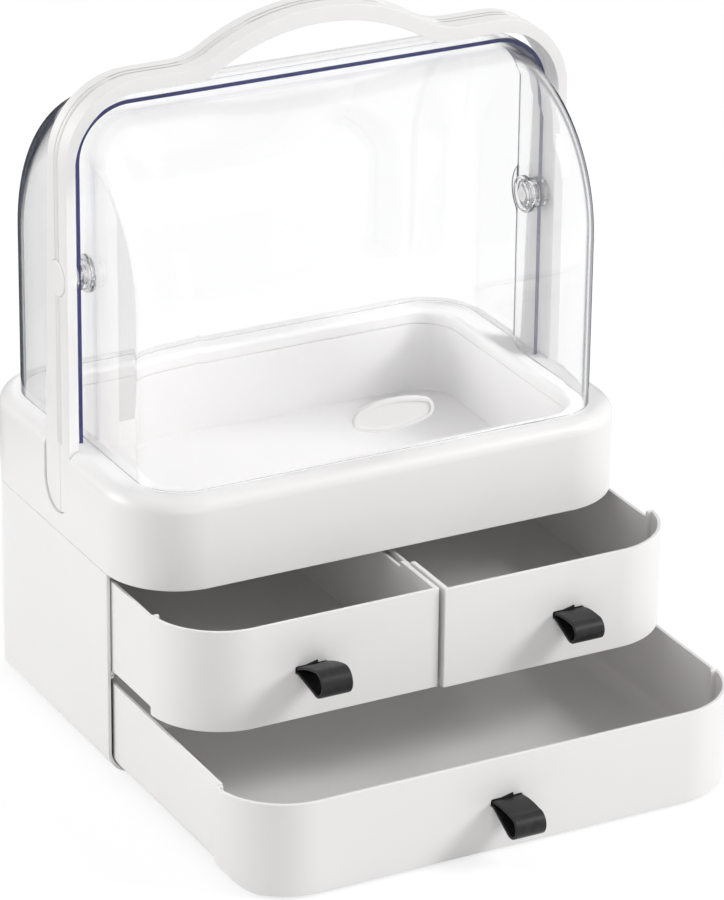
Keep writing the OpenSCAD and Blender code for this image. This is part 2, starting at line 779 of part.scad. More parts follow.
// Frame on each stem's axis at the front cover's front face, pointing inwards
module tab_stem_places() {
    for (s = [-1, 1]) translate([tab_x + s * stem_x, behind(front_cover_y), tab_z])
        rotate([-90, 0, 0]) children();
}

// Oval of four true arcs that run into each other smoothly
module oval(a, b, end_r) {
    big_r = (pow(a - end_r, 2) + pow(b, 2) - pow(end_r, 2)) / (2 * (b - end_r));
    meet_x = (a - end_r) * big_r / (big_r - end_r);
    for (s = [-1, 1]) translate([s * (a - end_r), 0]) circle(end_r);
    intersection() {
        translate([0, big_r - b]) circle(big_r, $fn = 180);
        translate([0, b - big_r]) circle(big_r, $fn = 180);
        square([2 * meet_x, 2 * b], center = true);
    }
}

// Oval finger tab low on the front cover, held by two stems
module cover_tab() {
    color(white) {
        translate([tab_x, behind(front_cover_y) - fit, tab_z]) rotate([90, 0, 0]) difference() {
            linear_extrude(tab_t) oval(tab_a, tab_b, tab_end_r);
            translate([0, 0, tab_t - dish_depth]) linear_extrude(tab_t)
                oval(tab_a - dish_land, tab_b - dish_land, tab_end_r - dish_land);
        }
        tab_stem_places() translate([0, 0, -fit - tab_t / 2])
            cylinder(r = stem_r, h = tab_t / 2 + fit + cover_wall + over);
    }
}

// ---- drawers ---------------------------------------------------------------

// Everything to the right of x
module right_of(x) {
    translate([x, -far / 2, -over]) cube([far, far, far]);
}

// Upright rear part of a drawer, that runs inside the cabinet
module box_block(inset, z0, z1) {
    translate([0, 0, z0]) linear_extrude(z1 - z0)
        plan(2 * (box_x - inset), drawer_wall, drawer_back - inset, corner_r - 2 * drawer_wall,
             drawer_rear_r - inset);
}

// Slot for the pull's strap, at x and z in a closed drawer's front
module pull_slot(x, z) {
    translate([x, behind(drawer_wall / 2), z])
        cube([slot_w, drawer_wall + 2 * over, slot_h], center = true);
}

// Upper drawer for the right-hand bay, closed
module upper_drawer() {
    front_side = fronts_gap / 2;
    box_side = divider_t / 2 + side_gap;
    floor_top = shelf_top + slide_gap + drawer_wall;
    difference() {
        union() {
            intersection() {
                translate([0, 0, upper_front_z0]) linear_extrude(upper_front_z1 - upper_front_z0)
                    body_plan();
                slice(0, shoulder_y);
                right_of(front_side);
            }
            intersection() {
                box_block(0, shelf_top + slide_gap, upper_box_z1);
                slice(drawer_wall, body_d);
                right_of(box_side);
            }
        }
        intersection() {
            translate([0, 0, floor_top]) linear_extrude(far) body_plan(drawer_wall);
            slice(0, shoulder_y - drawer_wall);
            right_of(box_side + drawer_wall);
        }
        intersection() {
            box_block(drawer_wall, floor_top, far);
            slice(shoulder_y - drawer_wall - over, body_d);
            right_of(box_side + drawer_wall);
        }
        pull_slot(pull_x, upper_pull_z);
    }
}

// Lower drawer, closed: full width, with the cabinet's rounded bottom
module closed_lower_drawer() {
    floor_top = floor_z + slide_gap + drawer_wall;
    box_inset = cabinet_wall + side_gap;
    difference() {
        union() {
            intersection() {
                cabinet_block(0, lower_front_z0, lower_front_z1);
                slice(0, shoulder_y);
            }
            intersection() {
                cabinet_block(box_inset, floor_z + slide_gap, lower_box_z1);
                box_block(0, 0, far);
                slice(shoulder_y - over, body_d);
            }
        }
        intersection() {
            cabinet_block(drawer_wall, floor_top, far);
            slice(0, shoulder_y - drawer_wall);
        }
        intersection() {
            cabinet_block(box_inset + drawer_wall, floor_top, far);
            box_block(drawer_wall, 0, far);
            slice(shoulder_y - drawer_wall - over, body_d);
        }
        pull_slot(0, lower_pull_z);
    }
}

module left_drawer() {
    color(white) translate([0, -left_open, 0]) mirror([1, 0, 0]) upper_drawer();
}

module right_drawer() {
    color(white) translate([0, -right_open, 0]) upper_drawer();
}

module lower_drawer() {
    color(white) translate([0, -lower_open, 0]) closed_lower_drawer();
}

// ---- pulls -----------------------------------------------------------------

// Filled teardrop along X in side view: a rod at the far end of a flat tail
module teardrop(reach, r, tail, w) {
    away = sqrt(pow(reach, 2) + pow(tail, 2));
    a = 180 - atan(tail / reach) - acos(r / away);
    meet = [reach + (r - run_sink) * cos(a), (r - run_sink) * sin(a)];
    translate([reach, 0, 0]) cylinder(r = r, h = w, center = true, $fn = 48);
    linear_extrude(w, center = true)
        polygon([[0, -tail], [0, tail], meet, [reach, 0], [meet[0], -meet[1]]]);
}

// Strap bent to a loop, its two ends together through the slot and the clip
module strap(x, z, open, reach, r, tilt) {
    tail_l = drawer_wall + clip_t + over;
    color(black) translate([x, behind(-open), z]) rotate([90, 0, -90]) difference() {
        union() {
            rotate(tilt) teardrop(reach, r, 0.9 * strap_t, strap_w);
            translate([-tail_l / 2 + strap_t / 4, 0, 0])
                cube([tail_l + strap_t / 2, 2 * strap_t, strap_w - 2 * fit], center = true);
        }
        rotate(tilt) translate([2 * strap_t, 0, 0])
            teardrop(reach - 2 * strap_t, r - strap_t, fit, strap_w + 2 * over);
    }
}

// Clip behind the front that grips the strap's two ends
module clip(x, z, open) {
    color(white) translate([x, behind(drawer_wall - open) + fit / 2 + clip_t / 2, z]) difference() {
        cube([slot_w + 2 * clip_rim, clip_t, slot_h + 2 * clip_rim], center = true);
        cube([strap_w + 2 * fit, clip_t + over, 2 * strap_t + 2 * fit], center = true);
    }
}

module left_pull() {
    strap(-pull_x, upper_pull_z, left_open, left_reach, left_bend_r, left_tilt);
}
module right_pull() {
    strap(pull_x, upper_pull_z, right_open, right_reach, right_bend_r, right_tilt);
}
module lower_pull() {
    strap(0, lower_pull_z, lower_open, lower_reach, lower_bend_r, lower_tilt);
}
module left_pull_clip() { clip(-pull_x, upper_pull_z, left_open); }
module right_pull_clip() { clip(pull_x, upper_pull_z, right_open); }
module lower_pull_clip() { clip(0, lower_pull_z, lower_open); }

cabinet_shell();
drawer_shelf();
centre_divider();
base_feet();
upper_tray();
tray_tub();
tray_screws();
handle_front_shell();
handle_rear_shell();
handle_screws();
left_pivot_pin();
right_pivot_pin();
left_pivot_cap();
right_pivot_cap();
left_pivot_spacers();
right_pivot_spacers();
left_pivot_boss();
right_pivot_boss();
front_cover();
cover_tab();
rear_cover();
left_drawer();
right_drawer();
lower_drawer();
left_pull();
right_pull();
lower_pull();
left_pull_clip();
right_pull_clip();
lower_pull_clip();
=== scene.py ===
"""Looks of the dustproof makeup organizer: finishes, soft moulded edges, clear cover, strap pulls and studio.

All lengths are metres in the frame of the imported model: +X right, +Y back, +Z up, origin under the middle of
the body. Moulded pieces are shown as copies of the model's own shapes with softened edges. The two halves of
the clear cover and the three strap pulls are modelled here, at the model's sizes.
"""
import logging
import math
from dataclasses import dataclass, field
from enum import Enum
from typing import Callable, Sequence

import bpy
from mathutils import Matrix, Vector


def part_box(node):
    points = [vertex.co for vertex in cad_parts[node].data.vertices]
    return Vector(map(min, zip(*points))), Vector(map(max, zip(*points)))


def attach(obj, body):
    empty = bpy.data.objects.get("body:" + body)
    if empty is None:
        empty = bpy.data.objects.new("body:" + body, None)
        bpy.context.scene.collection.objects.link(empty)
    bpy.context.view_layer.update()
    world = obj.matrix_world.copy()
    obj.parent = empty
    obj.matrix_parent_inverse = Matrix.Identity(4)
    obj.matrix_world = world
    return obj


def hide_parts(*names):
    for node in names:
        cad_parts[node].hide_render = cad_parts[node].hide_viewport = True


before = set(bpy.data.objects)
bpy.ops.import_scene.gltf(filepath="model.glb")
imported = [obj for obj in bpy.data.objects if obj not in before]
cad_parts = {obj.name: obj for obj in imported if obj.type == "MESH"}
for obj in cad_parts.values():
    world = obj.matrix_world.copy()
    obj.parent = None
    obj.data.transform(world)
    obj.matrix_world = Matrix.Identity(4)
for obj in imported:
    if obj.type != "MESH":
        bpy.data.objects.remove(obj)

log = logging.getLogger("organizer")

MM = 0.001
# Points closer together than this are one point
MERGE = 0.01 * MM
# Edges blunter than this are shaded smoothly, in degrees
SMOOTH_ANGLE = 32.0
# A point of the axis that the front cover turns on
PIVOT = Vector((0.0, -5.0, 256.0)) * MM


class Slot(Enum):
    """Material slots of the record."""

    WHITE = "white_plastic"
    CLEAR = "clear_plastic"
    STRAP = "black_strap"


# ---- node helpers -----------------------------------------------------------


def grey(value: float) -> tuple[float, float, float, float]:
    """Opaque grey of a linear value."""
    return (value, value, value, 1.0)


class Graph:
    """Short way to write the node tree of a material or of the world."""

    def __init__(self, name: str, world: bool = False) -> None:
        """Starts an empty tree.

        Args:
            name: Name of the material or the world.
            world: Whether the tree is a world's.
        """
        self.owner = (bpy.data.worlds if world else bpy.data.materials).new(name)
        self.owner.use_nodes = True
        self.tree = self.owner.node_tree
        self.tree.nodes.clear()
        self.output = self.add("OutputWorld" if world else "OutputMaterial")

    def add(self, kind: str, values: dict[str, object] | None = None, **settings: object) -> bpy.types.Node:
        """Adds a node.

        Args:
            kind: Blender's name of the node type, after its prefix.
            values: Value of each input that is set.
            settings: Attributes to set on the node.

        Returns:
            The new node.
        """
        node = self.tree.nodes.new(f"ShaderNode{kind}")
        for key, value in settings.items():
            setattr(node, key, value)
        for name, value in (values or {}).items():
            node.inputs[name].default_value = value
        return node

    def link(self, start: bpy.types.NodeSocket, end: bpy.types.NodeSocket) -> None:
        """Joins an output socket to an input socket.

        Args:
            start: Output socket.
            end: Input socket.
        """
        self.tree.links.new(start, end)

    def show(self, shader: bpy.types.Node) -> bpy.types.ID:
        """Makes a shader the tree's surface.

        Args:
            shader: The shader's node.

        Returns:
            The finished material or world.
        """
        self.link(shader.outputs[0], self.output.inputs["Surface"])
        return self.owner

    def mix(self, factor: bpy.types.NodeSocket, first: bpy.types.Node,
            second: bpy.types.Node) -> bpy.types.Node:
        """Mixes two shaders.

        Args:
            factor: 0 for the first shader, 1 for the second.
            first: First shader.
            second: Second shader.

        Returns:
            The mixing node.
        """
        node = self.add("MixShader")
        for start, end in zip((factor, first.outputs[0], second.outputs[0]), node.inputs):
            self.link(start, end)
        return node

    def calculate(self, operation: str, *values: bpy.types.NodeSocket | float) -> bpy.types.NodeSocket:
        """Works out a number.

        Args:
            operation: Blender's name of the operation.
            values: Sockets or numbers that go into it.

        Returns:
            The result's socket.
        """
        node = self.add("Math", operation=operation)
        for value, end in zip(values, node.inputs):
            if isinstance(value, float):
                end.default_value = value
            else:
                self.link(value, end)
        return node.outputs["Value"]

    def noise(self, scale: float, detail: float = 3.0, roughness: float = 0.5) -> bpy.types.NodeSocket:
        """Noise over object coordinates.

        Args:
            scale: Noise scale, per metre.
            detail: Number of octaves.
            roughness: How much the finer octaves count.

        Returns:
            The noise's factor socket.
        """
        coords = self.add("TexCoord")
        node = self.add("TexNoise", {"Scale": scale, "Detail": detail, "Roughness": roughness})
        self.link(coords.outputs["Object"], node.inputs["Vector"])
        return node.outputs["Fac"]

    def steps(self, source: bpy.types.NodeSocket,
              stops: Sequence[tuple[float, Sequence[float]]]) -> bpy.types.NodeSocket:
        """Maps a factor to a colour along several stops.

        Args:
            source: Factor to map.
            stops: Factor and linear colour of each stop, in rising order.

        Returns:
            The colour socket.
        """
        node = self.add("ValToRGB")
        elements = node.color_ramp.elements
        while len(elements) < len(stops):
            elements.new(0.5)
        for element, (position, colour) in zip(elements, stops):
            element.position = position
            element.color = (*colour, 1.0)
        self.link(source, node.inputs["Fac"])
        return node.outputs["Color"]

    def ramp(self, source: bpy.types.NodeSocket, low: Sequence[float], high: Sequence[float],
             start: float = 0.3, end: float = 0.7) -> bpy.types.NodeSocket:
        """Maps a factor to a colour between two colours.

        Args:
            source: Factor to map.
            low: Colour at the start.
            high: Colour at the end.
            start: Factor where the low colour ends.
            end: Factor where the high colour begins.

        Returns:
            The colour socket.
        """
        return self.steps(source, ((start, low), (end, high)))

    def blend(self, factor: bpy.types.NodeSocket, first: bpy.types.NodeSocket,
              second: bpy.types.NodeSocket) -> bpy.types.NodeSocket:
        """Mixes two colours.

        Args:
            factor: 0 for the first colour, 1 for the second.
            first: First colour.
            second: Second colour.

        Returns:
            The colour socket.
        """
        node = self.add("Mix", data_type="RGBA")
        colours = [socket for socket in node.inputs if socket.type == "RGBA"]
        self.link(factor, node.inputs["Factor"])
        self.link(first, colours[0])
        self.link(second, colours[1])
        return next(socket for socket in node.outputs if socket.type == "RGBA")

    def spread(self, source: bpy.types.NodeSocket, low: float, high: float) -> bpy.types.NodeSocket:
        """Maps a factor from 0..1 to a range of numbers.

        Args:
            source: Factor to map.
            low: Result at 0.
            high: Result at 1.

        Returns:
            The mapped value's socket.
        """
        node = self.add("MapRange", {"To Min": low, "To Max": high})
        self.link(source, node.inputs["Value"])
        return node.outputs["Result"]

    def bump(self, height: bpy.types.NodeSocket, strength: float, distance: float) -> bpy.types.NodeSocket:
        """Turns a height into a bumped normal.

        Args:
            height: Height socket.
            strength: Strength of the bump, 0 to 1.
            distance: Height of the bump in metres.

        Returns:
            The normal socket.
        """
        node = self.add("Bump", {"Strength": strength, "Distance": distance})
        self.link(height, node.inputs["Height"])
        return node.outputs["Normal"]


# ---- finishes ---------------------------------------------------------------


@dataclass(frozen=True)
class MouldedPlastic:
    """Opaque moulded plastic with a fine satin texture.

    Attributes:
        name: Name of the material.
        colour: Linear colour of the plastic.
        drift: How far the colour drifts over the surface, as a fraction.
        roughness: Mean roughness.
        grain: Depth of the moulded texture in metres.
    """

    name: str
    colour: tuple[float, float, float]
    drift: float = 0.012
    roughness: float = 0.34
    grain: float = 0.012 * MM

    def make(self) -> bpy.types.Material:
        """Builds the material.

        Returns:
            The new material.
        """
        graph = Graph(self.name)
        shader = graph.add("BsdfPrincipled", {
            "IOR": 1.49, "Subsurface Weight": 0.06, "Subsurface Scale": 1.0,
            "Subsurface Radius": (3 * MM, 2.6 * MM, 2.4 * MM)})
        low = [value * (1 - self.drift) for value in self.colour]
        high = [min(1.0, value * (1 + self.drift)) for value in self.colour]
        graph.link(graph.ramp(graph.noise(9.0, 2.0), low, high), shader.inputs["Base Color"])
        cloud = graph.noise(60.0, 4.0)
        graph.link(graph.spread(cloud, self.roughness - 0.04, self.roughness + 0.05),
                   shader.inputs["Roughness"])
        texture = graph.noise(2600.0, 2.0, 0.6)
        graph.link(graph.bump(texture, 0.35, self.grain), shader.inputs["Normal"])
        return graph.show(shader)


@dataclass(frozen=True)
class ClearPlastic:
    """Clear moulded plastic with painted shade and painted dark reflection in its colour, which make its
    outline cool and dark, as clear plastic looks in front of white.

    Attributes:
        name: Name of the material.
        painted_slant_shade: Painted shade of the side walls where they are seen aslant, as a linear colour.
        painted_rim_shade: Painted dark reflection of the side walls where they are seen edge-on, as a linear
            colour.
        painted_crown_shade: Painted dark reflection of the rest of the plastic where it is seen edge-on, as a
            linear colour.
        tint: Colour that long ways through the plastic turn to.
        density: How fast they do, per metre.
        sides: Distances from the middle where the side walls' painted shade begins and is full.
        passed: Share of a lamp's light that one face of a wall lets through.
        roughness: Roughness of the polished surface.
    """

    name: str
    painted_slant_shade: tuple[float, float, float]
    painted_rim_shade: tuple[float, float, float]
    painted_crown_shade: tuple[float, float, float]
    tint: tuple[float, float, float]
    density: float
    sides: tuple[float, float] = (108.0 * MM, 122.0 * MM)
    passed: float = 0.87
    roughness: float = 0.01

    def painted_outline_shade(self, graph: Graph) -> bpy.types.NodeSocket:
        """Paints shade and dark reflection into the colour towards the outline, most of all on the side walls.

        Args:
            graph: Tree to add to.

        Returns:
            The colour socket.
        """
        edge_on = graph.add("LayerWeight", {"Blend": 0.5})
        facing = edge_on.outputs["Facing"]
        white = (1.0, 1.0, 1.0)
        # Painted shade and painted dark reflection: near black on the side walls where they are seen edge-on,
        # brownish dark on the top
        side = graph.steps(facing, ((0.35, white), (0.56, self.painted_slant_shade), (0.61, self.painted_slant_shade), (0.7, self.painted_rim_shade)))
        top = graph.steps(facing, ((0.84, white), (0.94, self.painted_crown_shade)))
        coords = graph.add("TexCoord")
        split = graph.add("SeparateXYZ")
        graph.link(coords.outputs["Object"], split.inputs["Vector"])
        # The distance from the middle decides which painted shade a part gets
        where = graph.add("MapRange", {"From Min": self.sides[0], "From Max": self.sides[1]})
        graph.link(graph.calculate("ABSOLUTE", split.outputs["X"]), where.inputs["Value"])
        return graph.blend(where.outputs["Result"], top, side)

    def make(self) -> bpy.types.Material:
        """Builds the material.

        Returns:
            The new material.
        """
        graph = Graph(self.name)
        shader = graph.add("BsdfPrincipled", {"Transmission Weight": 1.0, "IOR": 1.49})
        # The colour holds the painted dark outline, which tints the light that passes
        graph.link(self.painted_outline_shade(graph), shader.inputs["Base Color"])
        haze = graph.noise(14.0, 2.0)
        graph.link(graph.spread(haze, self.roughness * 0.6, self.roughness * 1.4),
                   shader.inputs["Roughness"])
        ripple = graph.noise(26.0, 1.0)
        graph.link(graph.bump(ripple, 0.04, 0.12 * MM), shader.inputs["Normal"])
        depth = graph.add("VolumeAbsorption", {"Color": (*self.tint, 1.0), "Density": self.density})
        graph.link(depth.outputs["Volume"], graph.output.inputs["Volume"])
        # Lamps shine through the walls, so what stands behind them isn't in their shadow
        through = graph.add("BsdfTransparent", {"Color": grey(self.passed)})
        path = graph.add("LightPath")
        return graph.show(graph.mix(path.outputs["Is Shadow Ray"], shader, through))


@dataclass(frozen=True)
class CutEdge:
    """Cut edge of the clear plastic, where the light that runs inside the wall comes out dark blue.

    Attributes:
        name: Name of the material.
        colour: Linear colour of the edge.
    """

    name: str
    colour: tuple[float, float, float]

    def make(self) -> bpy.types.Material:
        """Builds the material.

        Returns:
            The new material.
        """
        graph = Graph(self.name)
        shader = graph.add("BsdfPrincipled", {"Transmission Weight": 0.45, "IOR": 1.49})
        streaks = graph.noise(180.0, 3.0)
        deep = [value * 0.75 for value in self.colour]
        graph.link(graph.ramp(streaks, deep, self.colour), shader.inputs["Base Color"])
        graph.link(graph.spread(streaks, 0.12, 0.3), shader.inputs["Roughness"])
        return graph.show(shader)


@dataclass(frozen=True)
class StrapLeather:
    """Black coated leather: fine pebble grain with a dull shine and lighter worn bends.

    Attributes:
        name: Name of the material.
        colour: Linear colour of the coating.
        worn: Linear colour where the grain stands out.
        pebble: Size of the grain in metres.
        roughness: Mean roughness.
    """

    name: str
    colour: tuple[float, float, float]
    worn: tuple[float, float, float]
    pebble: float = 0.55 * MM
    roughness: float = 0.42

    def make(self) -> bpy.types.Material:
        """Builds the material.

        Returns:
            The new material.
        """
        graph = Graph(self.name)
        shader = graph.add("BsdfPrincipled", {"IOR": 1.5, "Specular IOR Level": 0.3})
        coords = graph.add("TexCoord")
        cells = graph.add("TexVoronoi", feature="SMOOTH_F1")
        cells.inputs["Scale"].default_value = 1.0 / self.pebble
        cells.inputs["Smoothness"].default_value = 0.6
        graph.link(coords.outputs["Object"], cells.inputs["Vector"])
        mottle = graph.noise(320.0, 3.0)
        graph.link(graph.ramp(mottle, self.colour, self.worn, 0.45, 0.8), shader.inputs["Base Color"])
        graph.link(graph.spread(mottle, self.roughness - 0.08, self.roughness + 0.1),
                   shader.inputs["Roughness"])
        graph.link(graph.bump(cells.outputs["Distance"], 0.5, 0.06 * MM), shader.inputs["Normal"])
        return graph.show(shader)


@dataclass(frozen=True)
class Steel:
    """Turned steel of the screws.

    Attributes:
        name: Name of the material.
        colour: Linear colour of the metal.
        roughness: Mean roughness.
    """

    name: str
    colour: tuple[float, float, float]
    roughness: float = 0.28

    def make(self) -> bpy.types.Material:
        """Builds the material.

        Returns:
            The new material.
        """
        graph = Graph(self.name)
        shader = graph.add("BsdfPrincipled", {"Metallic": 1.0})
        marks = graph.noise(900.0, 3.0)
        dark = [value * 0.9 for value in self.colour]
        graph.link(graph.ramp(marks, dark, self.colour), shader.inputs["Base Color"])
        graph.link(graph.spread(marks, self.roughness - 0.06, self.roughness + 0.1),
                   shader.inputs["Roughness"])
        graph.link(graph.bump(marks, 0.15, 0.01 * MM), shader.inputs["Normal"])
        return graph.show(shader)


@dataclass(frozen=True)
class FootRubber:
    """Dull black rubber of the foot pads.

    Attributes:
        name: Name of the material.
        colour: Linear colour of the rubber.
    """

    name: str
    colour: tuple[float, float, float]

    def make(self) -> bpy.types.Material:
        """Builds the material.

        Returns:
            The new material.
        """
        graph = Graph(self.name)
        shader = graph.add("BsdfPrincipled")
        dust = graph.noise(500.0, 4.0)
        pale = [value * 1.7 for value in self.colour]
        graph.link(graph.ramp(dust, self.colour, pale), shader.inputs["Base Color"])
        graph.link(graph.spread(dust, 0.75, 0.92), shader.inputs["Roughness"])
        graph.link(graph.bump(dust, 0.3, 0.03 * MM), shader.inputs["Normal"])
        return graph.show(shader)


@dataclass
class Finishes:
    """All finishes of the organizer, each made once."""

    shell: bpy.types.Material = field(init=False)
    clear: bpy.types.Material = field(init=False)
    cut_edge: bpy.types.Material = field(init=False)
    leather: bpy.types.Material = field(init=False)
    steel: bpy.types.Material = field(init=False)
    rubber: bpy.types.Material = field(init=False)

    def __post_init__(self) -> None:
        """Makes the materials."""
        self.shell = MouldedPlastic("warm_white_plastic", (0.80, 0.79, 0.785)).make()
        # The clear plastic's outline colours are painted shade and painted dark reflection
        self.clear = ClearPlastic(
            "clear_cover_plastic", painted_slant_shade=(0.9, 0.9, 0.89), painted_rim_shade=(0.02, 0.022, 0.032),
            painted_crown_shade=(0.3, 0.26, 0.24), tint=(0.5, 0.55, 0.85), density=5.0).make()
        self.cut_edge = CutEdge("clear_cover_cut_edge", (0.075, 0.085, 0.3)).make()
        self.leather = StrapLeather("black_strap_leather", (0.008, 0.008, 0.009), (0.02, 0.02, 0.021)).make()
        self.steel = Steel("turned_steel", (0.62, 0.62, 0.63)).make()
        self.rubber = FootRubber("foot_rubber", (0.03, 0.03, 0.03)).make()


# ---- modelling helpers ------------------------------------------------------


def select_only(piece: bpy.types.Object) -> None:
    """Deselects everything else and makes a piece active.

    Args:
        piece: Object to work on.
    """
    for other in list(bpy.context.selected_objects):
        other.select_set(False)
    piece.select_set(True)
    bpy.context.view_layer.objects.active = piece


def dress(piece: bpy.types.Object, finish: bpy.types.Material) -> None:
    """Gives a piece one finish.

    Args:
        piece: Object to dress.
        finish: Material for all of its faces.
    """
    if not piece.data.materials:
        piece.data.materials.append(finish)
    for index in range(len(piece.data.materials)):
        piece.data.materials[index] = finish


def apply_modifiers(piece: bpy.types.Object) -> None:
    """Applies all modifiers of a piece, in order.

    Args:
        piece: Object whose modifiers become mesh.
    """
    select_only(piece)
    for name in [modifier.name for modifier in piece.modifiers]:
        bpy.ops.object.modifier_apply(modifier=name)


def smooth(piece: bpy.types.Object, angle: float) -> None:
    """Shades a piece smoothly, with its flat faces kept flat.

    Args:
        piece: Object to shade.
        angle: Edges sharper than this stay sharp, in degrees.
    """
    select_only(piece)
    bpy.ops.object.shade_smooth_by_angle(angle=math.radians(angle))
    weigh = piece.modifiers.new("flat_faces", "WEIGHTED_NORMAL")
    weigh.keep_sharp = True
    weigh.weight = 80
    apply_modifiers(piece)


def finished(piece: bpy.types.Object, finish: bpy.types.Material, body: str,
             node: str) -> None:
    """Dresses a finished piece, hangs it on its body and hides its model node.

    Args:
        piece: The finished piece.
        finish: Material of the piece.
        body: Body that the piece moves with.
        node: Model node that the piece is shown for.
    """
    if len(piece.data.materials) < 2:
        dress(piece, finish)
    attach(piece, body)
    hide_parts(node)
    log.info("%s: %d faces", piece.name, len(piece.data.polygons))


def merged_copy(node: str) -> bpy.types.Object:
    """Copies a model node and joins its loose triangles to clean faces.

    Args:
        node: Name of the node.

    Returns:
        The copy.
    """
    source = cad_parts[node]
    piece = source.copy()
    piece.data = source.data.copy()
    piece.name = f"{node}_soft"
    piece.parent = None
    piece.matrix_world = source.matrix_world.copy()
    bpy.context.scene.collection.objects.link(piece)
    select_only(piece)
    bpy.ops.object.mode_set(mode="EDIT")
    bpy.ops.mesh.select_all(action="SELECT")
    bpy.ops.mesh.remove_doubles(threshold=0.002 * MM)
    bpy.ops.mesh.dissolve_limited(angle_limit=math.radians(0.5))
    bpy.ops.object.mode_set(mode="OBJECT")
    bpy.ops.object.transform_apply(location=True, rotation=True, scale=True)
    return piece


def soften(piece: bpy.types.Object, width: float, segments: int = 2) -> None:
    """Rounds all sharp edges of a piece a little.

    Args:
        piece: Object to round.
        width: Width of the soft edge in metres.
        segments: Steps across the soft edge.
    """
    edge = piece.modifiers.new("soft_edge", "BEVEL")
    edge.width = width
    edge.segments = segments
    edge.limit_method = "ANGLE"
    edge.angle_limit = math.radians(40)
    edge.use_clamp_overlap = False
    edge.miter_outer = "MITER_ARC"
    apply_modifiers(piece)


def softened(node: str, width: float, finish: bpy.types.Material,
             body: str) -> bpy.types.Object:
    """Shows a model node as a copy with softened edges.

    Args:
        node: Name of the node.
        width: Width of the soft edge in metres.
        finish: Material of the copy.
        body: Body that the copy moves with.

    Returns:
        The softened copy.
    """
    piece = merged_copy(node)
    soften(piece, width)
    smooth(piece, SMOOTH_ANGLE)
    finished(piece, finish, body, node)
    return piece


# ---- strap pulls ------------------------------------------------------------


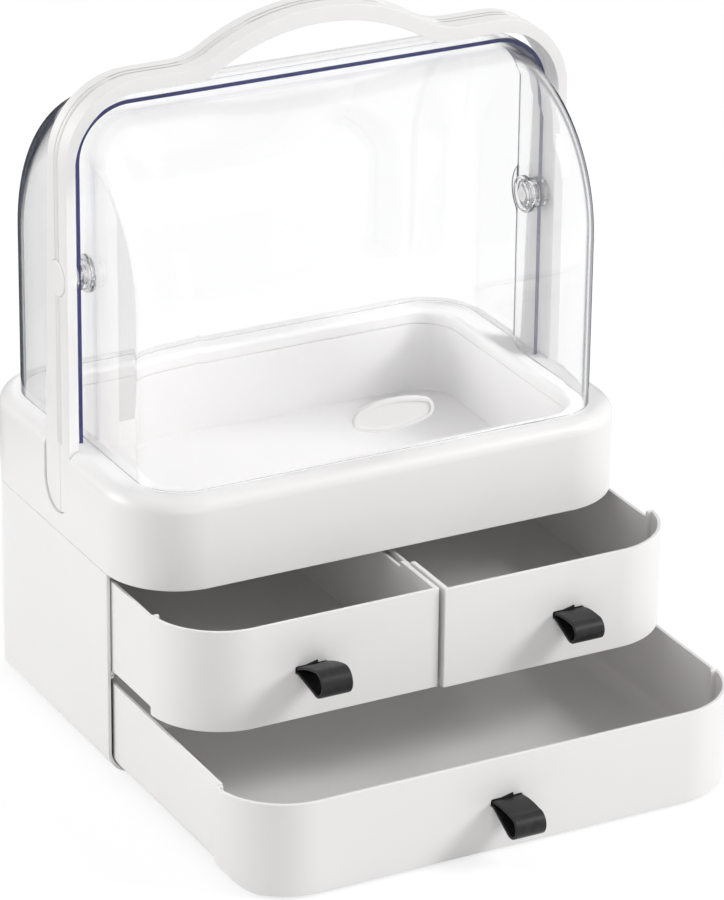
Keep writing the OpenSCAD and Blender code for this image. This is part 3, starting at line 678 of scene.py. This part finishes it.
@dataclass
class StrapPull:
    """Leather strap bent to a loop that hangs from a slot in a drawer's front.

    The strap's side view is a teardrop: both ends lie together in the slot, and the middle bends round a
    circle at the far end.

    Attributes:
        node: Model node that this strap stands for.
        body: Body that it moves with.
        centre: Middle of the slot on the front's face.
        reach: Distance from the slot to the middle of the bend.
        radius: Outside radius of the bend.
        tilt: Angle of the loop above the horizontal, in degrees.
        width: Width of the strap.
        thickness: Thickness of the strap.
        tail: Length of the ends inside the drawer.
        bulge: How far the upper run springs up.
        bend_steps: Steps round the bend.
        end_size: Width, depth and height of the strap's end that stands up out of the slot.
        end_slope: How much lower that end is on its left.
    """

    node: str
    body: str
    centre: Vector
    reach: float
    radius: float
    tilt: float
    width: float = 17.2 * MM
    thickness: float = 1.6 * MM
    tail: float = 5.4 * MM
    bulge: float = 1.8 * MM
    bend_steps: int = 20
    end_size: Vector = field(default_factory=lambda: Vector((6.4, 1.1, 4.0)) * MM)
    end_slope: float = 1.5 * MM

    def middle_line(self) -> list[Vector]:
        """Works out the strap's middle line in side view, from the upper end round to the lower end.

        The upper run bulges, because the stiff strap springs up; the lower run is pulled straight.

        Returns:
            Points with x as the distance out of the front and y as the height.
        """
        half = self.thickness / 2
        bend = self.radius - half
        turn = math.radians(self.tilt)
        middle = Vector((self.reach * math.cos(turn), self.reach * math.sin(turn)))
        first, last = math.radians(100), math.radians(-112)
        points = [middle + bend * Vector((math.cos(angle), math.sin(angle)))
                  for angle in (first + (last - first) * step / self.bend_steps
                                for step in range(self.bend_steps + 1))]
        start, end = Vector((0.0, half)), points[0]
        rise = Vector((end.x * 0.45, start.y + (end.y - start.y) * 0.45 + self.bulge))
        upper = [start * (1 - t) ** 2 + rise * 2 * t * (1 - t) + end * t ** 2
                 for t in (0.15, 0.3, 0.45, 0.6, 0.75, 0.9)]
        lower = [points[-1] + (Vector((0.0, -half)) - points[-1]) * part for part in (0.3, 0.6, 0.85)]
        return [Vector((-self.tail, half)), start, *upper, *points, *lower,
                Vector((0.0, -half)), Vector((-self.tail, -half))]

    def place(self, point: Vector, side: float) -> Vector:
        """Turns a side-view point into a point in the model's frame.

        Args:
            point: Point of the middle line.
            side: Offset across the strap.

        Returns:
            The point in metres.
        """
        return self.centre + Vector((side, -point.x, point.y))

    def strap_end(self) -> bpy.types.Object:
        """Models the strap's cut end, which stands up out of the slot above the loop.

        Returns:
            The end.
        """
        bpy.ops.object.select_all(action="DESELECT")
        place = self.centre + Vector((0.0, -self.end_size.y / 2, self.end_size.z / 2))
        bpy.ops.mesh.primitive_cube_add(size=1.0, location=place, scale=self.end_size)
        end = bpy.context.active_object
        bpy.ops.object.transform_apply(location=True, rotation=True, scale=True)
        for point in end.data.vertices:
            if point.co.z > place.z and point.co.x < place.x:
                point.co.z -= self.end_slope
        edge = end.modifiers.new("cut_edge", "BEVEL")
        edge.width = 0.3 * MM
        edge.segments = 2
        apply_modifiers(end)
        return end

    def build(self, leather: bpy.types.Material) -> bpy.types.Object:
        """Extrudes an edge along the middle line, thickens it and rounds its edges.

        Args:
            leather: Finish of the strap.

        Returns:
            The strap.
        """
        line = self.middle_line()
        bpy.ops.object.select_all(action="DESELECT")
        start = self.place(line[0], 0.0)
        bpy.ops.mesh.primitive_plane_add(size=self.width, location=start)
        piece = bpy.context.active_object
        piece.name = f"{self.node}_strap"
        bpy.ops.object.transform_apply(location=True, rotation=True, scale=True)
        bpy.ops.object.mode_set(mode="EDIT")
        bpy.ops.mesh.select_all(action="SELECT")
        # The plane is folded flat into one cross edge, which then draws the strap
        bpy.ops.transform.resize(value=(1.0, 0.0, 1.0), center_override=start)
        bpy.ops.mesh.remove_doubles(threshold=MERGE)
        bpy.ops.mesh.select_all(action="SELECT")
        for before, after in zip(line, line[1:]):
            step = self.place(after, 0.0) - self.place(before, 0.0)
            bpy.ops.mesh.extrude_edges_move(TRANSFORM_OT_translate={"value": step})
        bpy.ops.object.mode_set(mode="OBJECT")
        body = piece.modifiers.new("strap_body", "SOLIDIFY")
        body.thickness = self.thickness * 0.97
        body.offset = 0.0
        body.use_even_offset = True
        edge = piece.modifiers.new("strap_edge", "BEVEL")
        edge.width = 0.45 * MM
        edge.segments = 3
        edge.limit_method = "ANGLE"
        edge.angle_limit = math.radians(50)
        apply_modifiers(piece)
        bpy.ops.object.mode_set(mode="EDIT")
        bpy.ops.mesh.select_all(action="SELECT")
        bpy.ops.mesh.normals_make_consistent(inside=False)
        bpy.ops.object.mode_set(mode="OBJECT")
        end = self.strap_end()
        select_only(piece)
        end.select_set(True)
        bpy.ops.object.join()
        smooth(piece, 40.0)
        finished(piece, leather, self.body, self.node)
        return piece


# ---- sub-assemblies ---------------------------------------------------------


@dataclass
class Casing:
    """Cabinet, shelf, divider, feet and tray.

    Attributes:
        edge: Width of the soft edges of the mouldings.
        body: Body of all of these pieces.
    """

    edge: float = 0.5 * MM
    body: str = "cabinet"

    def build(self, finishes: Finishes) -> None:
        """Shows the casing's mouldings with soft edges and dresses the rest.

        Args:
            finishes: The organizer's finishes.
        """
        for node in ("cabinet_shell", "drawer_shelf", "centre_divider", "upper_tray", "tray_tub"):
            softened(node, self.edge, finishes.shell, self.body)
        dress(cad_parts["base_feet"], finishes.rubber)
        dress(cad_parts["tray_screws"], finishes.steel)


@dataclass
class CarryingArch:
    """The two shells of the arch and what fastens them.

    Attributes:
        round_edge: Width of the rounding along the arch's front and rear faces.
        edge: Width of the soft edges of its grooves and recesses.
        body: Body of all of these pieces.
        cap_room: Radius of the part round the pivot that stays as it is.
        clear_of_seam: Distance from the pivot that keeps the seam's edges out of the rounding.
    """

    round_edge: float = 1.6 * MM
    edge: float = 0.4 * MM
    body: str = "cabinet"
    cap_room: float = 12.0 * MM
    clear_of_seam: float = 8.0 * MM

    def face_edges(self, piece: bpy.types.Object, out: float) -> int:
        """Selects the edges along the shell's outer face.

        Args:
            piece: Shell with clean faces.
            out: -1 for the face that looks to the front, 1 for the face that looks to the rear.

        Returns:
            Number of selected edges.
        """
        mesh = piece.data
        looks_out: dict[tuple[int, int], list[float]] = {}
        for face in mesh.polygons:
            for key in face.edge_keys:
                looks_out.setdefault(key, []).append(face.normal.y * out)
        count = 0
        for part in (mesh.vertices, mesh.edges, mesh.polygons):
            part.foreach_set("select", [False] * len(part))
        for edge in mesh.edges:
            first, last = (mesh.vertices[index].co for index in edge.vertices)
            middle = (first + last) / 2
            beside = math.hypot(middle.y - PIVOT.y, middle.z - PIVOT.z)
            facing = sorted(looks_out[edge.key])
            edge.select = facing[0] < 0.4 and facing[-1] > 0.95 and beside > self.cap_room
            edge.select = edge.select and (middle.y - PIVOT.y) * out > self.clear_of_seam
            count += edge.select
        return count

    def shell(self, node: str, out: float, finishes: Finishes) -> None:
        """Shows one shell with rounded face edges.

        Args:
            node: Name of the shell's node.
            out: -1 for the front shell, 1 for the rear one.
            finishes: The organizer's finishes.
        """
        piece = merged_copy(node)
        count = self.face_edges(piece, out)
        select_only(piece)
        bpy.ops.object.mode_set(mode="EDIT")
        bpy.context.tool_settings.mesh_select_mode = (False, True, False)
        bpy.ops.mesh.bevel(offset=self.round_edge, segments=4, affect="EDGES", clamp_overlap=True)
        bpy.ops.object.mode_set(mode="OBJECT")
        log.info("%s: rounded %d edges", node, count)
        soften(piece, self.edge)
        smooth(piece, SMOOTH_ANGLE)
        finished(piece, finishes.shell, self.body, node)

    def build(self, finishes: Finishes) -> None:
        """Shows the shells with soft edges and dresses the rest.

        Args:
            finishes: The organizer's finishes.
        """
        self.shell("handle_front_shell", -1.0, finishes)
        self.shell("handle_rear_shell", 1.0, finishes)
        dress(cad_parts["handle_screws"], finishes.steel)
        for side in ("left", "right"):
            dress(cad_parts[f"{side}_pivot_pin"], finishes.shell)
            softened(f"{side}_pivot_cap", self.edge, finishes.shell, self.body)


@dataclass
class CoverHalf:
    """One clear half of the cover: upright wall, quarter barrel on top and a strip past the pivot.

    Attributes:
        node: Model node that the half stands for.
        body: Body that it moves with.
        facing: -1 where the wall stands in front of the pivot, 1 where it stands behind.
        half: Half width outside.
        radius: Radius of the barrel.
        corner: Radius of the rounded long corners.
        axis: Depth and height of the barrel's axis.
        strip: Length of the strip past the barrel's axis.
        low: Height of the lower edge.
        heel: Radius of the lower corner below the strip, or 0.
        ear: Radius of the ear round the pivot, or 0.
        wall: Thickness of the wall.
        steps: Steps round the barrel; the corners get two thirds of it.
        pin_room: Radius of the hole for the pin.
    """

    node: str
    body: str
    facing: int
    half: float
    radius: float
    corner: float
    axis: Vector
    strip: float
    low: float = 165.3 * MM
    heel: float = 0.0
    ear: float = 0.0
    wall: float = 2.2 * MM
    steps: int = 30
    pin_room: float = 4.05 * MM

    def section(self) -> list[Vector]:
        """Draws the wall's plan, from the end of the left strip round to the end of the right one.

        Returns:
            Points with x across and y as the distance from the barrel's axis.
        """
        flat = self.radius - self.corner
        turns = self.steps * 2 // 3
        arc = [Vector((-self.half + self.corner - self.corner * math.cos(angle),
                       flat + self.corner * math.sin(angle)))
               for angle in (math.pi / 2 * step / turns for step in range(turns + 1))]
        left = [Vector((-self.half, -self.strip)), Vector((-self.half, 0.0)),
                Vector((-self.half, flat / 2)), *arc]
        return left + [Vector((-point.x, point.y)) for point in reversed(left)]

    def draw(self) -> bpy.types.Object:
        """Draws the section as a chain of edges at the lower edge's height.

        Returns:
            An object in edit mode, with the chain selected.
        """
        places = [Vector((point.x, self.axis.y + self.facing * point.y, self.low))
                  for point in self.section()]
        bpy.ops.object.select_all(action="DESELECT")
        bpy.ops.mesh.primitive_plane_add(size=self.wall, location=places[0])
        piece = bpy.context.active_object
        piece.name = f"{self.node}_clear"
        bpy.ops.object.transform_apply(location=True, rotation=True, scale=True)
        bpy.ops.object.mode_set(mode="EDIT")
        bpy.context.tool_settings.mesh_select_mode = (True, False, False)
        bpy.ops.mesh.select_all(action="SELECT")
        bpy.ops.mesh.merge(type="CENTER")
        for before, after in zip(places, places[1:]):
            bpy.ops.mesh.extrude_region_move(TRANSFORM_OT_translate={"value": after - before})
        bpy.ops.mesh.select_all(action="SELECT")
        return piece

    def select_where(self, piece: bpy.types.Object, wanted: Callable[[Vector], bool]) -> None:
        """Selects the points of a piece that pass a test, and returns to edit mode.

        Args:
            piece: Object in edit mode.
            wanted: Test of a point's place.
        """
        bpy.ops.mesh.select_all(action="DESELECT")
        bpy.ops.object.mode_set(mode="OBJECT")
        for point in piece.data.vertices:
            point.select = wanted(point.co)
        bpy.ops.object.mode_set(mode="EDIT")

    def sheet(self) -> bpy.types.Object:
        """Models the outer skin: extruded wall, spun barrel and extruded strip.

        Returns:
            The skin as a sheet without thickness.
        """
        piece = self.draw()
        floors = 6
        rise = Vector((0.0, 0.0, (self.axis.z - self.low) / floors))
        for _ in range(floors):
            bpy.ops.mesh.extrude_edges_move(TRANSFORM_OT_translate={"value": rise})
        near = 0.05 * MM
        self.select_where(piece, lambda co: abs(co.z - self.axis.z) < near
                          and (co.y - self.axis.y) * self.facing > -near)
        bpy.ops.mesh.spin(steps=self.steps, angle=-self.facing * math.pi / 2, center=self.axis,
                          axis=(1.0, 0.0, 0.0))
        bpy.ops.mesh.select_all(action="SELECT")
        bpy.ops.mesh.remove_doubles(threshold=MERGE)
        self.select_where(piece, lambda co: co.z > self.axis.z - near and abs(co.y - self.axis.y) < near)
        back = Vector((0.0, -self.facing * self.strip, 0.0))
        bpy.ops.mesh.extrude_edges_move(TRANSFORM_OT_translate={"value": back})
        bpy.ops.mesh.select_all(action="SELECT")
        bpy.ops.mesh.remove_doubles(threshold=MERGE)
        if self.heel:
            end = self.axis.y - self.facing * self.strip
            self.select_where(piece, lambda co: abs(co.z - self.low) < near and abs(co.y - end) < near)
            bpy.ops.mesh.bevel(offset=self.heel, segments=8, affect="VERTICES", clamp_overlap=True)
        bpy.ops.mesh.select_all(action="SELECT")
        bpy.ops.mesh.normals_make_consistent(inside=False)
        bpy.ops.object.mode_set(mode="OBJECT")
        return piece

    def rod(self, side: int, radius: float, length: float) -> bpy.types.Object:
        """Makes a rod on the pivot axis, through one side wall.

        Args:
            side: -1 for the left wall, 1 for the right one.
            radius: Radius of the rod.
            length: Length of the rod.

        Returns:
            The rod.
        """
        bpy.ops.object.select_all(action="DESELECT")
        place = (side * (self.half - self.wall / 2), PIVOT.y, PIVOT.z)
        bpy.ops.mesh.primitive_cylinder_add(vertices=96, radius=radius, depth=length, location=place,
                                            rotation=(0.0, math.pi / 2, 0.0))
        return bpy.context.active_object

    def join(self, piece: bpy.types.Object, rod: bpy.types.Object, how: str) -> None:
        """Adds a rod to a piece or cuts it out, and removes the rod.

        Args:
            piece: Piece to change.
            rod: Rod to add or cut.
            how: UNION or DIFFERENCE.
        """
        change = piece.modifiers.new("rod", "BOOLEAN")
        change.operation = how
        change.solver = "EXACT"
        change.object = rod
        apply_modifiers(piece)
        bpy.data.objects.remove(rod, do_unlink=True)

    def mark_edges(self, piece: bpy.types.Object, finishes: Finishes) -> None:
        """Gives the cut edges past the pivot their own finish.

        Args:
            piece: The finished half.
            finishes: The organizer's finishes.
        """
        piece.data.materials.clear()
        piece.data.materials.append(finishes.clear)
        piece.data.materials.append(finishes.cut_edge)
        end = self.axis.y - self.facing * self.strip
        for face in piece.data.polygons:
            past = (face.center.y - end) * -self.facing
            face.material_index = int(face.normal.y * -self.facing > 0.6 and past > -0.3 * MM)

    def build(self, finishes: Finishes) -> bpy.types.Object:
        """Models and dresses the half.

        Args:
            finishes: The organizer's finishes.

        Returns:
            The half.
        """
        piece = self.sheet()
        skin = piece.modifiers.new("wall", "SOLIDIFY")
        skin.thickness = self.wall
        skin.offset = -1.0
        skin.use_even_offset = True
        apply_modifiers(piece)
        for side in (-1, 1):
            if self.ear:
                self.join(piece, self.rod(side, self.ear, self.wall * 0.99), "UNION")
            self.join(piece, self.rod(side, self.pin_room, self.wall * 2), "DIFFERENCE")
        soften(piece, 0.25 * MM)
        self.mark_edges(piece, finishes)
        smooth(piece, 30.0)
        finished(piece, finishes.clear, self.body, self.node)
        return piece


@dataclass
class ClearCover:
    """The two clear halves, the rings and bosses on their pivots, and the tab.

    Attributes:
        edge: Width of the small pieces' soft edges.
        front: Front half, which swings.
        rear: Rear half, which stays.
    """

    edge: float = 0.2 * MM
    front: CoverHalf = field(default_factory=lambda: CoverHalf(
        "front_cover", "front_lid", facing=-1, half=129.7 * MM, radius=87.3 * MM, corner=25.0 * MM,
        axis=Vector((0.0, -2.9, 256.0)) * MM, strip=8.5 * MM, heel=8.0 * MM, ear=16.3 * MM))
    rear: CoverHalf = field(default_factory=lambda: CoverHalf(
        "rear_cover", "cabinet", facing=1, half=135.0 * MM, radius=90.9 * MM, corner=30.0 * MM,
        axis=Vector((0.0, -4.2, 256.0)) * MM, strip=5.8 * MM))

    def build(self, finishes: Finishes) -> None:
        """Models the halves and dresses the rest.

        Args:
            finishes: The organizer's finishes.
        """
        self.front.build(finishes)
        self.rear.build(finishes)
        softened("cover_tab", self.edge, finishes.shell, self.front.body)
        for side in ("left", "right"):
            for part in ("spacers", "boss"):
                softened(f"{side}_pivot_{part}", self.edge, finishes.clear, self.rear.body)


@dataclass
class Drawers:
    """The three drawers with their strap pulls and clips.

    Attributes:
        edge: Width of the drawers' soft edges.
        tilts: Angle of each strap's loop above the horizontal, in degrees.
        reaches: Distance from each slot to the middle of the strap's bend.
        radii: Outside radius of each strap's bend.
        slots_height: Height of each strap's slot.
    """

    edge: float = 0.5 * MM
    tilts: dict[str, float] = field(default_factory=lambda: {"left": 5.0, "right": -7.8, "lower": -13.0})
    reaches: dict[str, float] = field(
        default_factory=lambda: {"left": 21.3 * MM, "right": 16.9 * MM, "lower": 19.3 * MM})
    radii: dict[str, float] = field(
        default_factory=lambda: {"left": 7.3 * MM, "right": 6.0 * MM, "lower": 6.5 * MM})
    slots_height: dict[str, float] = field(
        default_factory=lambda: {"left": 86.4 * MM, "right": 86.4 * MM, "lower": 28.0 * MM})

    def slot_centre(self, name: str) -> Vector:
        """Finds the middle of a drawer's pull slot on the front's face.

        Args:
            name: Which drawer.

        Returns:
            The point in metres.
        """
        low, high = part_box(f"{name}_pull")
        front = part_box(f"{name}_drawer")[0][1]
        return Vector(((low[0] + high[0]) / 2, front, self.slots_height[name]))

    def build(self, finishes: Finishes) -> None:
        """Builds every drawer's looks.

        Args:
            finishes: The organizer's finishes.
        """
        for name in self.tilts:
            body = f"{name}_drawer_group"
            softened(f"{name}_drawer", self.edge, finishes.shell, body)
            dress(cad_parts[f"{name}_pull_clip"], finishes.shell)
            pull = StrapPull(f"{name}_pull", body, self.slot_centre(name), self.reaches[name],
                             self.radii[name], self.tilts[name])
            pull.build(finishes.leather)


# ---- camera, floor and light ------------------------------------------------


@dataclass
class PhotoView:
    """The camera, where the photograph was taken from.

    Attributes:
        azimuth: Angle of the line of sight to the right of straight back, in degrees.
        elevation: Angle of the line of sight below the horizontal, in degrees.
        roll: Roll of the camera in radians.
        target: Point that the line of sight is set out from.
        distance: Distance of the camera from the target along the line of sight.
        across: Sideways offset of the camera.
        up: Upwards offset of the camera.
        focal_pixels: Focal length in pixels of the photograph.
        frame_height: Height of the photograph in pixels.
        sensor: Height of the sensor in millimetres.
    """

    azimuth: float = 28.161
    elevation: float = 23.855
    roll: float = 0.012
    target: Vector = field(default_factory=lambda: Vector((0.0, 10.0, 180.0)) * MM)
    distance: float = 2510.0 * MM
    across: float = 34.101 * MM
    up: float = -48.14 * MM
    focal_pixels: float = 4783.0
    frame_height: float = 900.0
    sensor: float = 36.0

    def build(self) -> bpy.types.Object:
        """Places the camera and makes it the scene's.

        Returns:
            The camera.
        """
        turn, rise = math.radians(self.azimuth), math.radians(self.elevation)
        sight = Vector((math.sin(turn) * math.cos(rise), math.cos(turn) * math.cos(rise), -math.sin(rise)))
        level = Vector((math.cos(turn), -math.sin(turn), 0.0))
        upright = Vector((math.sin(turn) * math.sin(rise), math.cos(turn) * math.sin(rise), math.cos(rise)))
        right = level * math.cos(self.roll) + upright * math.sin(self.roll)
        top = -level * math.sin(self.roll) + upright * math.cos(self.roll)
        place = self.target - self.distance * sight + self.across * right + self.up * top
        data = bpy.data.cameras.new("photo_camera")
        data.sensor_fit = "VERTICAL"
        data.sensor_height = self.sensor
        data.lens = self.focal_pixels / self.frame_height * self.sensor
        data.clip_start = 0.05
        data.clip_end = 20.0
        camera = bpy.data.objects.new("photo_camera", data)
        axes = Matrix((right, top, -sight)).transposed().to_4x4()
        camera.matrix_world = Matrix.Translation(place) @ axes
        bpy.context.scene.collection.objects.link(camera)
        bpy.context.scene.camera = camera
        log.info("camera at %s", [round(value, 4) for value in place])
        return camera


@dataclass
class Studio:
    """White sweep of paper with soft light from above and from both sides.

    Attributes:
        floor_size: Side of the floor in metres.
        paper: How pale the floor is to the light that it throws back onto the object.
        floor_white: How much of the floor's white the camera sees whatever the light.
        floor_shade: How much of the light and shadow on the floor the camera sees.
        sky: Strength of the white surroundings as light.
        aim: Point that the lamps shine at.
        lamps: Place, side and power of each lamp.
        card_height: Height of the black cards.
        cards: Both ends of each card's foot.
    """

    floor_size: float = 8.0
    paper: float = 0.7
    floor_white: float = 0.74
    floor_shade: float = 0.3
    sky: float = 0.448
    aim: Vector = field(default_factory=lambda: Vector((0.0, 0.0, 0.17)))
    lamps: dict[str, tuple[Vector, float, float]] = field(default_factory=lambda: {
        "key_lamp": (Vector((2.0, -1.4, 1.7)), 0.9, 50.0),
        "fill_lamp": (Vector((-0.5, -2.4, 0.7)), 1.2, 11.0),
        "side_lamp": (Vector((-1.9, 1.0, 0.9)), 1.4, 31.0),
        "top_lamp": (Vector((-0.2, 0.3, 2.2)), 1.2, 3.0)})
    card_height: float = 0.32
    cards: dict[str, tuple[Vector, Vector]] = field(default_factory=lambda: {
        "left_card": (Vector((-0.45, 0.35, 0.0)), Vector((0.03, 0.35, 0.0))),
        "right_card": (Vector((0.29, 0.257, 0.0)), Vector((0.395, 0.15, 0.0)))})

    @staticmethod
    def seen(graph: Graph) -> bpy.types.NodeSocket:
        """Tells rays that show the background from rays that light the object.

        A ray that leaves a dull surface and then passes through the cover is light, not background.

        Args:
            graph: Tree to add to.

        Returns:
            A socket that is 1 for camera, glossy and transmission rays.
        """
        path = graph.add("LightPath")
        shown = graph.calculate("MAXIMUM", path.outputs["Is Camera Ray"], path.outputs["Is Glossy Ray"])
        shown = graph.calculate("MAXIMUM", shown, path.outputs["Is Transmission Ray"])
        direct = graph.calculate("LESS_THAN", path.outputs["Diffuse Depth"], 0.5)
        return graph.calculate("MULTIPLY", shown, direct)

    def floor(self) -> None:
        """Lays the floor, which the camera sees as white and which keeps the object's shadow."""
        bpy.ops.object.select_all(action="DESELECT")
        bpy.ops.mesh.primitive_plane_add(size=self.floor_size, location=(0.0, 0.0, 0.0))
        floor = bpy.context.active_object
        floor.name = "studio_floor"
        graph = Graph("studio_paper")
        paper = graph.add("BsdfDiffuse", {"Color": grey(self.paper)})
        shade = graph.add("BsdfDiffuse", {"Color": grey(self.floor_shade)})
        glow = graph.add("Emission", {"Color": grey(1.0), "Strength": self.floor_white})
        both = graph.add("AddShader")
        graph.link(shade.outputs["BSDF"], both.inputs[0])
        graph.link(glow.outputs["Emission"], both.inputs[1])
        dress(floor, graph.show(graph.mix(self.seen(graph), paper, both)))

    def surroundings(self) -> None:
        """Makes the world white where it is seen and softer where it lights the object."""
        graph = Graph("studio_white", world=True)
        lit = graph.add("Background", {"Color": grey(1.0), "Strength": self.sky})
        shown = graph.add("Background", {"Color": grey(1.0), "Strength": 1.0})
        bpy.context.scene.world = graph.show(graph.mix(self.seen(graph), lit, shown))

    def card(self, name: str, start: Vector, end: Vector) -> None:
        """Stands a black card beside the object, which only reflections see.

        Cards like it give clear plastic its dark outline in front of white.

        Args:
            name: Name of the card.
            start: One end of its foot.
            end: The other end.
        """
        bpy.ops.object.select_all(action="DESELECT")
        middle = (start + end) / 2 + Vector((0.0, 0.0, self.card_height / 2))
        bpy.ops.mesh.primitive_plane_add(size=1.0, location=middle)
        card = bpy.context.active_object
        card.name = name
        along = end - start
        card.scale = (along.length, self.card_height, 1.0)
        card.rotation_euler = (math.pi / 2, 0.0, math.atan2(along.y, along.x))
        graph = Graph(name)
        dress(card, graph.show(graph.add("BsdfDiffuse", {"Color": grey(0.01)})))
        for rays in ("camera", "diffuse", "transmission", "volume_scatter", "shadow"):
            setattr(card, f"visible_{rays}", False)

    def lamp(self, name: str, place: Vector, size: float, watts: float) -> None:
        """Hangs a square area lamp.

        Args:
            name: Name of the lamp.
            place: Where it hangs.
            size: Side of the lamp.
            watts: Its power.
        """
        data = bpy.data.lights.new(name, "AREA")
        data.energy = watts
        data.size = size
        lamp = bpy.data.objects.new(name, data)
        lamp.location = place
        lamp.rotation_euler = (self.aim - place).to_track_quat("-Z", "Y").to_euler()
        bpy.context.scene.collection.objects.link(lamp)

    def build(self) -> None:
        """Sets up floor, surroundings, cards and lamps."""
        self.floor()
        self.surroundings()
        for name, (start, end) in self.cards.items():
            self.card(name, start, end)
        for name, (place, size, watts) in self.lamps.items():
            self.lamp(name, place, size, watts)
        bpy.context.scene.view_settings.view_transform = "Standard"


def main() -> None:
    """Builds the looks of the organizer, in order."""
    logging.basicConfig(level=logging.INFO, format="%(name)s: %(message)s")
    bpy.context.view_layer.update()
    finishes = Finishes()
    PhotoView().build()
    Studio().build()
    Casing().build(finishes)
    CarryingArch().build(finishes)
    ClearCover().build(finishes)
    Drawers().build(finishes)


if __name__ == "__main__":
    main()
